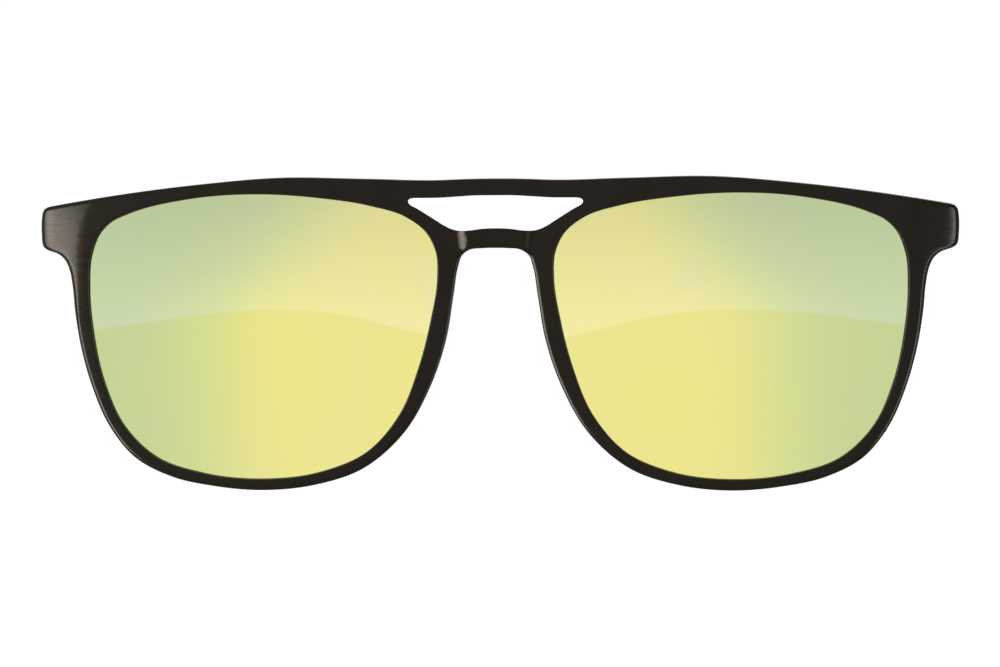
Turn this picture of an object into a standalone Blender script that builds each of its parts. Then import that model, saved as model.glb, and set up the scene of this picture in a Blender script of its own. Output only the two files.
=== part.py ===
"""Magnetic flip-up clip-on: a pair of mirrored sun lenses for the front of somebody's own spectacles.

A moulded front holds both lenses. Behind its top bar, a three-knuckle friction hinge joins it to a small carrier
whose four magnets stay on the bridge of the spectacles, so the front can be flipped up out of the way. Two more
magnets, in the lugs, hold the front closed. Everything is modelled in millimetres and scaled to metres at the
end. X runs to the viewer's right, the front faces -Y and Z is up. Heights are counted from the lens centre line.
"""

import math

import bmesh
import bpy
from mathutils import Matrix, Vector
from mathutils.geometry import interpolate_bezier

MM = 0.001

# The front: outlines of its right half, anticlockwise as the viewer sees them
OUTER = [
    (0, 13.05), (2, 13.0), (3.8, 12.8), (5.1, 11.9), (5.7, 10.2), (6.4, 6), (7.6, -1), (9.9, -7.8),
    (14.2, -15.3), (20.5, -20.7), (28, -23.2), (36, -24), (43.5, -23.4), (50, -22), (55.8, -19), (59.7, -14.2),
    (62.2, -8.5), (63.9, -2.5), (64.9, 3.5), (65.5, 8.5), (66.1, 11.2), (67.4, 12.5), (69.4, 13), (70.1, 13.6),
    (70.2, 16), (70.1, 18.6), (69.4, 19.4), (66, 20.05), (58, 21.3), (45, 22.9), (33, 23.85), (20, 23.65),
    (8.5, 23.4), (4.5, 23.55), (0, 23.6),
]
OPENING = [
    (36, 21.35), (27, 20.75), (19, 19.5), (13.6, 17.8), (10.5, 15.4), (9.05, 12.4), (8.85, 8.5), (9.9, 2),
    (11.8, -5.2), (14.8, -12.4), (19.8, -18.1), (27, -21.2), (36, -22.3), (45, -21.45), (52.5, -18.9),
    (57.4, -14.1), (60.3, -7.6), (62, 0), (62.65, 7), (62.2, 12.4), (60.7, 15.6), (56.7, 18), (47, 20.6),
]
WINDOW = [
    (0, 21.15), (5.5, 21.12), (8.5, 20.8), (12.2, 20.8), (13.2, 20.4), (13.3, 19.7), (12, 18.9), (9.8, 17.5),
    (8, 16.3), (6.3, 15.75), (4.3, 15.75), (2, 16), (0, 16.05),
]
FRONT_THICK = 2.0
LENS_CENTRE = 36.0
LENS_RADIUS = 250.0  # the sphere that each lens and its rim follow
FACE_FORM = 0.035  # how fast the front falls back toward the temples
BRIDGE_HALF = 9.0
BRIDGE_RISE = 0.6  # the middle of both bridge bars stands forward of the rims
LUG_CREASE = 63.6  # outboard of this the lug turns back
LUG_SLOPE = 0.235

# Lenses, in a groove round each opening
LENS_THICK = 0.76
GROOVE_WIDE = 1.0
GROOVE_DEEP = 0.5
LENS_GRIP = 0.35

# Hinge, behind the top bar
GAP = 0.03
HINGE_Z = 22.4
SEAT_Y = 3.0
SEAT_HALF = 7.5
RELIEF_Y = 3.3  # beside the seat, the bar's back is cut to here, to pass the rear leaf when the front flips up
RELIEF_HALF = 12.5
LEAF_THICK = 0.35
LEAF_HALF_TALL = 0.85
KNUCKLE_R = 0.85
PIN_R = 0.4
BORE_R = 0.43
FRONT_KNUCKLE_HALF = 1.8
WASHER_THICK = 0.15
REAR_KNUCKLE_LONG = 2.5
LEAF_Y = SEAT_Y + GAP
HINGE_Y = LEAF_Y + LEAF_THICK + GAP + KNUCKLE_R
WASHER_X = FRONT_KNUCKLE_HALF + GAP
REAR_KNUCKLE_X = WASHER_X + WASHER_THICK + GAP
PIN_END_X = REAR_KNUCKLE_X + REAR_KNUCKLE_LONG + GAP
SCREW_X = 6.2
SCREW_R = 0.45
SCREW_HEAD_R = 0.75

# Carrier, which stays on the spectacles
REAR_LEAF_Y = HINGE_Y + KNUCKLE_R + GAP
REAR_LEAF_THICK = 0.3
REAR_LEAF_HALF = 11.0
RIVET_X = 9.4
RIVET_R = 0.45
CARRIER_Y = REAR_LEAF_Y + REAR_LEAF_THICK + GAP
CARRIER_THICK = 0.7
CONTACT_Y = CARRIER_Y + CARRIER_THICK
CARRIER_OUTER = [
    (0, 13.5), (3.6, 13.45), (5.4, 12.6), (7.2, 12), (9.2, 12.9), (9.7, 14.8), (11.2, 16.7), (13.4, 18.6),
    (15.7, 19.3), (17.2, 20.7), (16.9, 22.4), (15.4, 23.15), (11, 23.2), (5, 23.15), (0, 23.15),
]
CARRIER_INNER = [
    (0, 21.55), (6, 21.55), (11, 21.5), (13.2, 21.1), (13.8, 20.1), (13.4, 19.2), (11.8, 18.1), (9.9, 16.9),
    (8.2, 15.8), (6.6, 15.3), (3.6, 15.35), (0, 15.6),
]
CARRIER_MAGNETS = {"upper": (15.2, 21.2), "lower": (7.5, 13.9)}
CARRIER_MAGNET_R = 1.3
CARRIER_MAGNET_THICK = 0.8
CARRIER_BOSS_R = 1.7
CARRIER_FLOOR = 0.25

# Lugs and rims
LUG_MAGNET = (66.3, 16.4)
LUG_MAGNET_R = 1.5
LUG_MAGNET_THICK = 1.0
LUG_BOSS_R = 2.2
LUG_CONTACT_Y = 8.4
BUMPER = (58.7, -14.6)
BUMPER_R = 0.9
BUMPER_TALL = 0.7
STEM_R = 0.4
STEM_DEEP = 0.8

ROUND = 24  # chords in a turned part

COLOURS = {
    "frame": ((0.021, 0.018, 0.015), 0.45, 0.0),
    "lens": ((0.66, 0.72, 0.30), 0.12, 0.9),
    "hinge": ((0.30, 0.29, 0.27), 0.3, 1.0),
    "carrier": ((0.03, 0.03, 0.03), 0.4, 1.0),
    "magnet": ((0.55, 0.53, 0.50), 0.25, 1.0),
    "silicone": ((0.30, 0.30, 0.29), 0.6, 0.0),
    "washer": ((0.62, 0.47, 0.25), 0.35, 1.0),
}


def smooth_step(value):
    value = min(max(value, 0.0), 1.0)
    return value * value * (3 - 2 * value)


def dish(x, z):
    """How far a lens's own sphere lies behind the foremost point of the front, the lens centre."""
    across = abs(x) - LENS_CENTRE
    return (across**2 + z**2) / (2 * LENS_RADIUS) + FACE_FORM * across


def sag(x, z):
    """The same for the whole front: a smooth raised bridge joins the two spheres, and the lugs turn back."""
    depth = dish(max(abs(x), BRIDGE_HALF), z)
    if abs(x) < BRIDGE_HALF:
        slope = (BRIDGE_HALF - LENS_CENTRE) / LENS_RADIUS + FACE_FORM
        depth += slope * (x * x - BRIDGE_HALF**2) / (2 * BRIDGE_HALF)
    reach = 5.7 + 0.56 * (min(max(z, 16.0), 21.0) - 16.0)
    depth -= BRIDGE_RISE * smooth_step((reach - abs(x)) / 1.5) * smooth_step((z - 9.5) / 3)
    return depth + LUG_SLOPE * max(0.0, abs(x) - LUG_CREASE)


def smooth(points, steps):
    """A closed curve through the points, with the given number of chords between each two."""
    knots = [Vector(p) for p in points]
    tangents = []
    for i, here in enumerate(knots):
        back = here - knots[i - 1]
        ahead = knots[(i + 1) % len(knots)] - here
        total = back.length + ahead.length
        tangents.append((ahead * back.length / ahead.length + back * ahead.length / back.length) / total)
    loop = []
    for i, start in enumerate(knots):
        end = knots[(i + 1) % len(knots)]
        third = (end - start).length / 3
        leave = start + tangents[i] * third
        arrive = end - tangents[(i + 1) % len(knots)] * third
        loop += interpolate_bezier(start, leave, arrive, end, steps + 1)[:-1]
    return loop


def both_halves(half):
    """A whole outline from its right half, whose first and last points are on the middle plane."""
    return list(half) + [(-x, z) for x, z in reversed(half[1:-1])]


def mirrored(loop):
    return [Vector((-p.x, p.y)) for p in reversed(loop)]


def offset(loop, distance):
    """The anticlockwise loop, moved outward."""
    moved = []
    for i, here in enumerate(loop):
        along = (loop[(i + 1) % len(loop)] - loop[i - 1]).normalized()
        moved.append(here + Vector((along.y, -along.x)) * distance)
    return moved


def circle(x, z, radius, count=ROUND):
    return [
        Vector((x + radius * math.cos(2 * math.pi * i / count), z + radius * math.sin(2 * math.pi * i / count)))
        for i in range(count)
    ]


def rounded_bar(half_long, half_tall, z):
    """The outline of a strip with rounded corners, centred on the middle plane."""
    corner = 0.3
    loop = []
    for quarter, (sx, sz) in enumerate(((1, 1), (-1, 1), (-1, -1), (1, -1))):
        for step in range(5):
            angle = math.radians(90 * quarter + 22.5 * step)
            x = sx * (half_long - corner) + corner * math.cos(angle)
            loop.append(Vector((x, z + sz * (half_tall - corner) + corner * math.sin(angle))))
    return loop


def new_collection(name):
    collection = bpy.data.collections.new(name)
    bpy.context.scene.collection.children.link(collection)
    return collection


def apply_modifier(obj, modifier):
    bpy.context.view_layer.objects.active = obj
    bpy.ops.object.modifier_apply(modifier=modifier.name)


def combine(obj, other, operation):
    modifier = obj.modifiers.new(operation.lower(), "BOOLEAN")
    modifier.operation = operation
    modifier.solver = "EXACT"
    modifier.object = other
    other.hide_render = True
    other.display_type = "WIRE"
    apply_modifier(obj, modifier)


def plate(name, collection, loops, front, back):
    """A flat solid between two depths, with the first loop as its edge and the others as its holes."""
    curve = bpy.data.curves.new(name, "CURVE")
    curve.dimensions = "2D"
    curve.fill_mode = "BOTH"
    curve.extrude = (back - front) / 2
    for loop in loops:
        spline = curve.splines.new("POLY")
        spline.points.add(len(loop) - 1)
        for point, place in zip(spline.points, loop):
            point.co = (place.x, place.y, 0, 1)
        spline.use_cyclic_u = True
    drawn = bpy.data.objects.new(name, curve)
    drawn.rotation_euler.x = math.radians(90)
    drawn.location.y = (front + back) / 2
    collection.objects.link(drawn)
    bpy.context.view_layer.update()
    mesh = bpy.data.meshes.new_from_object(drawn.evaluated_get(bpy.context.evaluated_depsgraph_get()))
    mesh.transform(drawn.matrix_world)
    bpy.data.objects.remove(drawn)
    work = bmesh.new()
    work.from_mesh(mesh)
    bmesh.ops.remove_doubles(work, verts=work.verts, dist=1e-5)
    bmesh.ops.recalc_face_normals(work, faces=work.faces)
    work.to_mesh(mesh)
    work.free()
    obj = bpy.data.objects.new(name, mesh)
    collection.objects.link(obj)
    return obj


def turned(name, collection, profile, place, axis="Y"):
    """A solid turned from (radius, height) points down its outer side; its height runs along the axis."""
    mesh = bpy.data.meshes.new(name)
    edges = [(i, i + 1) for i in range(len(profile) - 1)]
    if profile[0][0] > 0:
        edges.append((len(profile) - 1, 0))
    mesh.from_pydata([(radius, 0, height) for radius, height in profile], edges, [])
    obj = bpy.data.objects.new(name, mesh)
    collection.objects.link(obj)
    screw = obj.modifiers.new("turn", "SCREW")
    screw.axis = "Z"
    screw.steps = screw.render_steps = ROUND
    screw.use_merge_vertices = True
    screw.merge_threshold = 1e-5
    apply_modifier(obj, screw)
    if axis == "Y":
        obj.data.transform(Matrix.Rotation(math.radians(-90), 4, "X"))
    else:
        obj.data.transform(Matrix.Rotation(math.radians(90), 4, "Y"))
    obj.location = Vector(place)
    return obj


def rod(name, collection, radius, start, end, place, axis="Y"):
    """A plain cylinder from one height to another along its axis."""
    return turned(name, collection, [(0, end), (radius, end), (radius, start), (0, start)], place, axis)


def block(name, collection, low, high):
    bpy.ops.mesh.primitive_cube_add(size=1)
    obj = bpy.context.object
    obj.name = name
    for other in obj.users_collection:
        other.objects.unlink(obj)
    collection.objects.link(obj)
    size = Vector(high) - Vector(low)
    obj.data.transform(Matrix.Diagonal((*size, 1)))
    obj.location = (Vector(high) + Vector(low)) / 2
    return obj


def bend(obj, surface):
    for vertex in obj.data.vertices:
        vertex.co.y += surface(vertex.co.x, vertex.co.z)


def prepare_to_bend(obj):
    """Adds an edge loop where each lug turns back, and cuts every face into short triangles that can bend."""
    work = bmesh.new()
    work.from_mesh(obj.data)
    cuts = [(x + 2.6, 0) for x in range(-65, 65, 5)] + [(side * LUG_CREASE, 0) for side in (-1, 1)]
    cuts += [(0, z + 0.3) for z in range(-20, 21, 5)]
    for x, z in cuts:
        everything = work.verts[:] + work.edges[:] + work.faces[:]
        normal = (1, 0, 0) if x else (0, 0, 1)
        bmesh.ops.bisect_plane(work, geom=everything, dist=1e-5, plane_co=(x, 0, z), plane_no=normal)
    bmesh.ops.triangulate(work, faces=work.faces, ngon_method="BEAUTY")
    work.to_mesh(obj.data)
    work.free()


def back_face(x, z):
    """The place on the back of the front, and the turn that stands a Y-axis part square on it."""
    step = 0.5
    fall_x = (sag(x + step, z) - sag(x - step, z)) / (2 * step)
    fall_z = (sag(x, z + step) - sag(x, z - step)) / (2 * step)
    normal = Vector((-fall_x, 1, -fall_z)).normalized()
    turn = Vector((0, 1, 0)).rotation_difference(normal)
    return Vector((x, sag(x, z) + FRONT_THICK, z)), normal, turn


def front_frame(parts, cutters, opening):
    outline = smooth(both_halves(OUTER), 3)
    window = smooth(both_halves(WINDOW), 2)
    frame = plate("front_frame", parts, [outline, opening, mirrored(opening), window], 0, FRONT_THICK)
    groove = (FRONT_THICK - GROOVE_WIDE) / 2
    for side, inner in (("right", opening), ("left", mirrored(opening))):
        wide = offset(inner, GROOVE_DEEP)
        combine(frame, plate(f"groove_{side}", cutters, [wide], groove, groove + GROOVE_WIDE), "DIFFERENCE")
    prepare_to_bend(frame)
    bend(frame, sag)
    seat = block("leaf_seat", cutters, (-SEAT_HALF, SEAT_Y, 20), (SEAT_HALF, SEAT_Y + 3, 25))
    combine(frame, seat, "DIFFERENCE")
    relief = block("swing_relief", cutters, (-RELIEF_HALF, RELIEF_Y, 20), (RELIEF_HALF, SEAT_Y + 3, 25))
    combine(frame, relief, "DIFFERENCE")
    for name, side in (("left", -1), ("right", 1)):
        hole = rod(f"screw_hole_{name}", cutters, SCREW_R + 0.02, -1.35, 1, (side * SCREW_X, SEAT_Y, HINGE_Z))
        combine(frame, hole, "DIFFERENCE")
        x, z = side * LUG_MAGNET[0], LUG_MAGNET[1]
        boss = rod(f"lug_boss_{name}", cutters, LUG_BOSS_R, 1, 5, (0, 0, 0))
        boss.data.transform(Matrix.Translation((x, 0, z)))
        bend(boss, sag)
        for vertex in boss.data.vertices:
            if vertex.co.y > (sag(x, z) + 3.5):
                vertex.co.y = LUG_CONTACT_Y
        combine(frame, boss, "UNION")
        pocket = rod(
            f"magnet_pocket_{name}", cutters, LUG_MAGNET_R + GAP, -LUG_MAGNET_THICK - GAP, 1, (x, LUG_CONTACT_Y, z)
        )
        combine(frame, pocket, "DIFFERENCE")
        place, normal, turn = back_face(side * BUMPER[0], BUMPER[1])
        hole = rod(f"bumper_hole_{name}", cutters, STEM_R + GAP, -STEM_DEEP - GAP, 1, place)
        hole.rotation_mode = "QUATERNION"
        hole.rotation_quaternion = turn
        combine(frame, hole, "DIFFERENCE")
    return frame


def lens(name, parts, cutters, loop):
    """A spherical sheet, edged to the shape of the opening and a little over to fill the groove."""
    bpy.ops.mesh.primitive_grid_add(x_subdivisions=14, y_subdivisions=12, size=1)
    obj = bpy.context.object
    obj.name = name
    for other in obj.users_collection:
        other.objects.unlink(obj)
    parts.objects.link(obj)
    middle = LENS_CENTRE if loop[0].x > 0 else -LENS_CENTRE
    obj.data.transform(Matrix.Diagonal((57, 47, 1, 1)))
    obj.data.transform(Matrix.Rotation(math.radians(90), 4, "X"))
    obj.data.transform(Matrix.Translation((middle, FRONT_THICK / 2, 0)))
    thick = obj.modifiers.new("thickness", "SOLIDIFY")
    thick.thickness = LENS_THICK
    thick.offset = 0
    apply_modifier(obj, thick)
    bend(obj, dish)
    edge = plate(f"{name}_edge", cutters, [offset(loop, LENS_GRIP)], -5, 15)
    combine(obj, edge, "INTERSECT")
    return obj


def front_leaf(parts, cutters):
    holes = [circle(side * SCREW_X, HINGE_Z, SCREW_R + 0.02) for side in (-1, 1)]
    strip = rounded_bar(SEAT_HALF - 0.3, LEAF_HALF_TALL, HINGE_Z)
    leaf = plate("front_leaf", parts, [strip, *holes], LEAF_Y, LEAF_Y + LEAF_THICK)
    half = FRONT_KNUCKLE_HALF
    web = block(
        "front_web", cutters, (-half, LEAF_Y + 0.1, HINGE_Z - 0.55), (half, HINGE_Y, HINGE_Z + 0.55)
    )
    combine(leaf, web, "UNION")
    combine(leaf, rod("front_barrel", cutters, KNUCKLE_R, -half, half, (0, HINGE_Y, HINGE_Z), "X"), "UNION")
    bore = rod("front_bore", cutters, BORE_R, -half - 1, half + 1, (0, HINGE_Y, HINGE_Z), "X")
    combine(leaf, bore, "DIFFERENCE")
    return leaf


def rear_leaf(parts, cutters):
    holes = [circle(side * RIVET_X, HINGE_Z, RIVET_R + 0.02) for side in (-1, 1)]
    strip = rounded_bar(REAR_LEAF_HALF, 0.72, HINGE_Z)
    leaf = plate("rear_leaf", parts, [strip, *holes], REAR_LEAF_Y, REAR_LEAF_Y + REAR_LEAF_THICK)
    near, far = REAR_KNUCKLE_X, REAR_KNUCKLE_X + REAR_KNUCKLE_LONG
    for name, side in (("left", -1), ("right", 1)):
        low, high = sorted((side * near, side * far))
        web = block(
            f"rear_web_{name}",
            cutters,
            (low, HINGE_Y, HINGE_Z - 0.55),
            (high, REAR_LEAF_Y + 0.1, HINGE_Z + 0.55),
        )
        combine(leaf, web, "UNION")
        barrel = rod(f"rear_barrel_{name}", cutters, KNUCKLE_R, low, high, (0, HINGE_Y, HINGE_Z), "X")
        combine(leaf, barrel, "UNION")
    bore = rod("rear_bore", cutters, BORE_R, -far - 1, far + 1, (0, HINGE_Y, HINGE_Z), "X")
    combine(leaf, bore, "DIFFERENCE")
    return leaf


def carrier_plate(parts, cutters):
    rivets = [circle(side * RIVET_X, HINGE_Z, RIVET_R + 0.02) for side in (-1, 1)]
    outer = smooth(both_halves(CARRIER_OUTER), 3)
    inner = smooth(both_halves(CARRIER_INNER), 3)
    carrier = plate("carrier_plate", parts, [outer, inner, *rivets], CARRIER_Y, CONTACT_Y)
    for height, (x, z) in CARRIER_MAGNETS.items():
        for name, side in (("left", -1), ("right", 1)):
            boss = rod(
                f"carrier_boss_{height}_{name}",
                cutters,
                CARRIER_BOSS_R,
                -CARRIER_MAGNET_THICK - CARRIER_FLOOR - GAP,
                -CARRIER_THICK / 2,
                (side * x, CONTACT_Y, z),
            )
            combine(carrier, boss, "UNION")
            pocket = rod(
                f"carrier_pocket_{height}_{name}",
                cutters,
                CARRIER_MAGNET_R + GAP,
                -CARRIER_MAGNET_THICK - GAP,
                1,
                (side * x, CONTACT_Y, z),
            )
            combine(carrier, pocket, "DIFFERENCE")
    return carrier


def magnet(name, parts, radius, thick, x, contact, z):
    """A disc with chamfered edges, a hair below the face that it holds."""
    top, edge = -0.01, 0.15
    profile = [
        (0, top), (radius - edge, top), (radius, top - edge), (radius, edge - thick), (radius - edge, -thick),
        (0, -thick),
    ]
    return turned(name, parts, profile, (x, contact, z))


def leaf_screw(name, parts, side):
    """A cheese-head screw through the front leaf into the top bar, its head toward the hinge."""
    under = LEAF_THICK + 2 * GAP
    profile = [
        (0, under + 0.32), (0.66, under + 0.32), (SCREW_HEAD_R, under + 0.22), (SCREW_HEAD_R, under),
        (SCREW_R, under), (SCREW_R, -1.1), (0.25, -1.3), (0, -1.3),
    ]
    return turned(name, parts, profile, (side * SCREW_X, SEAT_Y, HINGE_Z))


def leaf_rivet(name, parts, side):
    """A rivet that joins the rear leaf to the carrier plate."""
    head = REAR_LEAF_Y - GAP - CONTACT_Y
    profile = [
        (0, -0.02), (RIVET_R, -0.02), (RIVET_R, head), (0.7, head), (0.7, head - 0.12), (0.52, head - 0.25),
        (0, head - 0.25),
    ]
    return turned(name, parts, profile, (side * RIVET_X, CONTACT_Y, HINGE_Z))


def hinge_pieces(parts):
    centre = (0, HINGE_Y, HINGE_Z)
    head, nut = 0.4, 0.45
    profile = [
        (0, PIN_END_X + nut + 0.15), (0.3, PIN_END_X + nut + 0.15), (PIN_R, PIN_END_X + nut + 0.05),
        (PIN_R, -PIN_END_X), (0.7, -PIN_END_X), (0.7, 0.1 - PIN_END_X - head), (0.6, -PIN_END_X - head),
        (0, -PIN_END_X - head),
    ]
    pin = turned("hinge_pin", parts, profile, centre, "X")
    low, high = PIN_END_X, PIN_END_X + nut
    ring = [(0.6, high), (0.7, high - 0.1), (0.7, low), (PIN_R + 0.02, low), (PIN_R + 0.02, high)]
    cap = turned("pin_nut", parts, ring, centre, "X")
    washers = []
    for name, low in (("left", -WASHER_X - WASHER_THICK), ("right", WASHER_X)):
        high = low + WASHER_THICK
        ring = [(0.8, high), (0.8, low), (BORE_R, low), (BORE_R, high)]
        washers.append(turned(f"friction_washer_{name}", parts, ring, centre, "X"))
    return pin, cap, washers


def bumper(name, parts, side):
    """A silicone button that keeps the rim off the spectacles' own lens."""
    place, normal, turn = back_face(side * BUMPER[0], BUMPER[1])
    profile = [
        (0, BUMPER_TALL), (0.45, BUMPER_TALL), (0.75, BUMPER_TALL - 0.12), (BUMPER_R, BUMPER_TALL - 0.35),
        (BUMPER_R, 0.05), (STEM_R, 0.05), (STEM_R, -STEM_DEEP), (0, -STEM_DEEP),
    ]
    obj = turned(name, parts, profile, place)
    obj.rotation_mode = "QUATERNION"
    obj.rotation_quaternion = turn
    return obj


def material(name):
    colour, roughness, metallic = COLOURS[name]
    made = bpy.data.materials.get(name)
    if made is None:
        made = bpy.data.materials.new(name)
        made.use_nodes = True
        shader = made.node_tree.nodes["Principled BSDF"]
        shader.inputs["Base Color"].default_value = (*colour, 1)
        shader.inputs["Roughness"].default_value = roughness
        shader.inputs["Metallic"].default_value = metallic
    return made


def finish(objects, kind, parent):
    """Gives the objects their material and hangs them on their body's empty, without moving them."""
    for obj in objects:
        obj.data.materials.clear()
        obj.data.materials.append(material(kind))
        to_metres(obj)
        obj.parent = parent
        obj.matrix_parent_inverse = Matrix.Translation(-parent.location)


def to_metres(obj):
    """Everything is modelled with a millimetre as the unit; this brings one object to its real size."""
    if obj.type == "MESH":
        obj.data.transform(Matrix.Scale(MM, 4))
    obj.location *= MM


def empty(name, collection, place):
    obj = bpy.data.objects.new(name, None)
    obj.location = Vector(place) * MM
    collection.objects.link(obj)
    return obj


def main():
    for obj in list(bpy.data.objects):
        bpy.data.objects.remove(obj)
    parts = new_collection("flip_up_clip_on")
    cutters = new_collection("cutters")
    origin = empty("spectacle_bridge", parts, (0, 0, 0))
    on_spectacles = empty("carrier_body", parts, (0, CONTACT_Y, HINGE_Z))
    flip = empty("flip_axis", parts, (0, HINGE_Y, HINGE_Z))

    opening = smooth(OPENING, 3)
    finish([front_frame(parts, cutters, opening)], "frame", flip)
    lenses = [
        lens("lens_left", parts, cutters, mirrored(opening)),
        lens("lens_right", parts, cutters, opening),
    ]
    finish(lenses, "lens", flip)
    pin, cap, washers = hinge_pieces(parts)
    front_steel = [front_leaf(parts, cutters)]
    rear_steel = [rear_leaf(parts, cutters), pin, cap]
    lug_magnets, bumpers, carrier_magnets = [], [], []
    for name, side in (("left", -1), ("right", 1)):
        front_steel.append(leaf_screw(f"leaf_screw_{name}", parts, side))
        rear_steel.append(leaf_rivet(f"leaf_rivet_{name}", parts, side))
        x, z = LUG_MAGNET
        size = (LUG_MAGNET_R, LUG_MAGNET_THICK)
        lug_magnets.append(magnet(f"lug_magnet_{name}", parts, *size, side * x, LUG_CONTACT_Y, z))
        bumpers.append(bumper(f"bumper_{name}", parts, side))
        for height, (x, z) in CARRIER_MAGNETS.items():
            size = (CARRIER_MAGNET_R, CARRIER_MAGNET_THICK)
            disc = magnet(f"carrier_magnet_{height}_{name}", parts, *size, side * x, CONTACT_Y, z)
            carrier_magnets.append(disc)
    finish(front_steel, "hinge", flip)
    finish(rear_steel, "hinge", on_spectacles)
    finish(washers, "washer", on_spectacles)
    finish([carrier_plate(parts, cutters)], "carrier", on_spectacles)
    finish(lug_magnets, "magnet", flip)
    finish(carrier_magnets, "magnet", on_spectacles)
    finish(bumpers, "silicone", flip)
    for body in (on_spectacles, flip):
        body.parent = origin
    for cutter in cutters.objects:
        to_metres(cutter)
        cutter.parent = origin
    origin.location = Vector((0, -CONTACT_Y, -HINGE_Z)) * MM


main()
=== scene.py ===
"""The looks of the magnetic flip-up clip-on: moulded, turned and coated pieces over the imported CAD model.

Shapes are worked out in millimetres, in the design's own places: X to the viewer's right, heights from the
lens centre line, and depths from the foremost point of the front. place() brings a finished mesh to metres
and to the frame's origin, which is on the back of the carrier plate. The front faces -Y.
"""

import math

import bmesh
import bpy
import numpy as np
from mathutils import Matrix, Vector
from mathutils.geometry import delaunay_2d_cdt, interpolate_bezier
from mathutils.kdtree import KDTree


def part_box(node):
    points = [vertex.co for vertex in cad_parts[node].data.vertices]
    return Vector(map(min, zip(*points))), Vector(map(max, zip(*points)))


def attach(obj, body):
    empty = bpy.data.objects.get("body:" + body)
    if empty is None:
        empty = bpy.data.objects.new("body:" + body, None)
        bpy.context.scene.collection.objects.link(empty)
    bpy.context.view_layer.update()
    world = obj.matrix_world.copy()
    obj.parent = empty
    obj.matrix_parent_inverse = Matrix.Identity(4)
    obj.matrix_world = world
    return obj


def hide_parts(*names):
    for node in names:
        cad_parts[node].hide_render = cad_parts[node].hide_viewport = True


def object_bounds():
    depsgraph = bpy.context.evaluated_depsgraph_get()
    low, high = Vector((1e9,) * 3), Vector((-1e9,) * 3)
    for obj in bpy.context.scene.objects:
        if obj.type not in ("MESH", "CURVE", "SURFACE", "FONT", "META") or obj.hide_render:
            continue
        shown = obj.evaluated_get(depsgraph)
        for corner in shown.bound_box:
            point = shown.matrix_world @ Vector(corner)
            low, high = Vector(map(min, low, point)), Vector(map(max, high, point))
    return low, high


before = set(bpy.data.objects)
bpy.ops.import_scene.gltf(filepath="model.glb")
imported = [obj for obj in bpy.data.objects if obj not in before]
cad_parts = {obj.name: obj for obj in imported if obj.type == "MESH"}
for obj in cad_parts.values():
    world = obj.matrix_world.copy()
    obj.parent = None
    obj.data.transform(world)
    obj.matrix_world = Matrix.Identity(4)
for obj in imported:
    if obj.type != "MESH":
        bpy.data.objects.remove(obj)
CAD_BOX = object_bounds()

MM = 0.001
ORIGIN = Vector((0, 6.17, 22.4))  # the row frame's origin, in the design's places

# The front: outlines of its right half, anticlockwise as the viewer sees them
OUTER = [
    (0, 13.05), (2, 13.0), (3.8, 12.8), (5.1, 11.9), (5.7, 10.2), (6.4, 6), (7.6, -1), (9.9, -7.8),
    (14.2, -15.3), (20.5, -20.7), (28, -23.2), (36, -24), (43.5, -23.4), (50, -22), (55.8, -19),
    (59.7, -14.2), (62.2, -8.5), (63.9, -2.5), (64.9, 3.5), (65.3, 7.5), (65.8, 9.9), (66.5, 11.3),
    (67.6, 12.2), (68.8, 12.6), (69.6, 12.9), (70.1, 13.3), (70.3, 13.9), (70.4, 15), (70.45, 16.5),
    (70.35, 18), (70.2, 18.7), (69.8, 19.2), (69.2, 19.45), (68, 19.68), (65, 20.2), (58, 21.3),
    (45, 22.9), (33, 23.85), (20, 23.65), (8.5, 23.4), (4.5, 23.55), (0, 23.6),
]
OPENING = [
    (36, 21.35), (27, 20.75), (19, 19.5), (13.6, 17.8), (10.5, 15.4), (9.05, 12.4), (8.85, 8.5),
    (9.9, 2), (11.8, -5.2), (14.8, -12.4), (19.8, -18.1), (27, -21.2), (36, -22.3), (45, -21.45),
    (52.5, -18.9), (57.4, -14.1), (60.3, -7.6), (62, 0), (62.65, 7), (62.25, 12.3), (60.85, 15.6),
    (59.1, 17.25), (56.8, 18.3), (47, 20.65),
]
WINDOW = [
    (0, 21.3), (3, 21.28), (6, 21.1), (8.5, 20.95), (11, 20.92), (12.5, 20.9), (13.15, 20.78),
    (13.58, 20.42), (13.62, 19.9), (13.25, 19.42), (12.4, 18.95), (11, 18.1), (9.5, 17.15),
    (8, 16.2), (7, 15.7), (5.9, 15.4), (4.3, 15.4), (2, 15.68), (0, 15.75),
]
CARRIER_OUTER = [
    (0, 13.5), (3.6, 13.45), (5.4, 12.6), (7.2, 12), (9.2, 12.9), (9.7, 14.8), (11.2, 16.7),
    (13.4, 18.6), (15.7, 19.3), (17.2, 20.7), (16.9, 22.4), (15.4, 23.15), (11, 23.2), (5, 23.15),
    (0, 23.15),
]
CARRIER_INNER = [
    (0, 21.55), (6, 21.55), (11, 21.5), (13.2, 21.1), (13.8, 20.1), (13.4, 19.2), (11.8, 18.1),
    (9.9, 16.9), (8.2, 15.8), (6.6, 15.3), (3.6, 15.35), (0, 15.6),
]
FRONT_THICK = 2.0
FILLET = 0.25
FRONT_BEVEL = [  # (inset, depth) down the outer edge: a broad, worn corner
    (0.62, 0), (0.56, 0.008), (0.48, 0.03), (0.2, 0.13), (0.11, 0.2), (0.05, 0.29), (0.012, 0.42), (0, 0.58),
]
OUTLINE_STEP = 0.5  # between the points of an outline
WINDOW_STEP = 0.35
FRONT_GRAIN = 0.7  # between the points that fill the faces of the front
LENS_CENTRE = 36.0
LENS_RADIUS = 250.0
FACE_FORM = 0.035

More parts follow.
